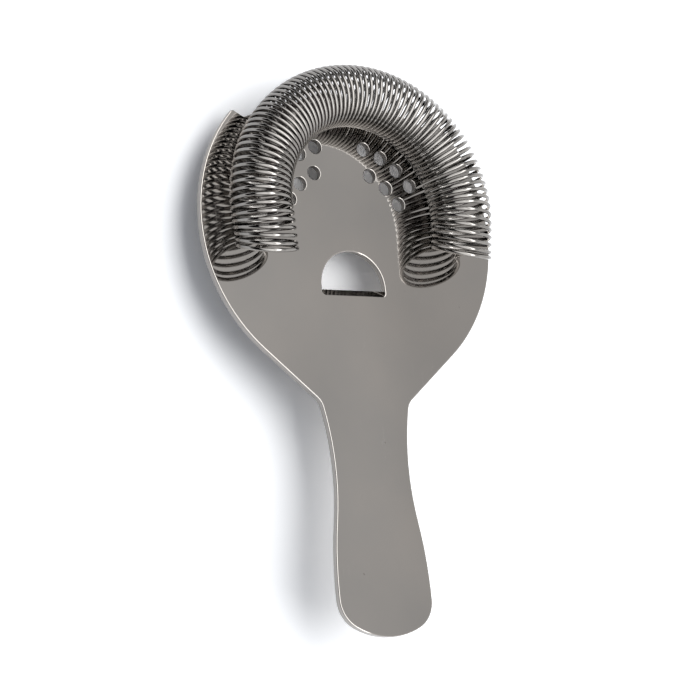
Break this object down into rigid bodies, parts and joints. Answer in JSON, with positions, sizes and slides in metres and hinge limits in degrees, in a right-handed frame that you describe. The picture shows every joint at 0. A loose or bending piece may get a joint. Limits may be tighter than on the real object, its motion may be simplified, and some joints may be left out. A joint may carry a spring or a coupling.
{
  "type": "hawthorne strainer",
  "caption": "Cocktail strainer: round flat plate with a paddle handle, drain holes, a finger cut-out and a horseshoe coil spring.",
  "frame": {"origin": "on the plate's flat back face, at the centre of its round head", "axes": "+Z out of the face that carries the coil, +Y to the front edge, the handle along -Y"},
  "size_m": [0.095, 0.1622, 0.0198],
  "materials": {
    "plate_metal": "polished gunmetal plating over stainless steel",
    "spring_wire": "bright gunmetal plating over stainless spring wire"
  },
  "bodies": {
    "plate": {"strainer_plate": "plate_metal"},
    "spring": {"coil_spring": "spring_wire"}
  },
  "joints": [
    {"name": "coil_squeeze", "type": "slide", "parent": "plate", "child": "spring", "axis": [0, -1, 0], "range_m": [0, 0.005], "stiffness_N_per_m": 1200, "deforming": ["coil_spring"]}
  ]
}
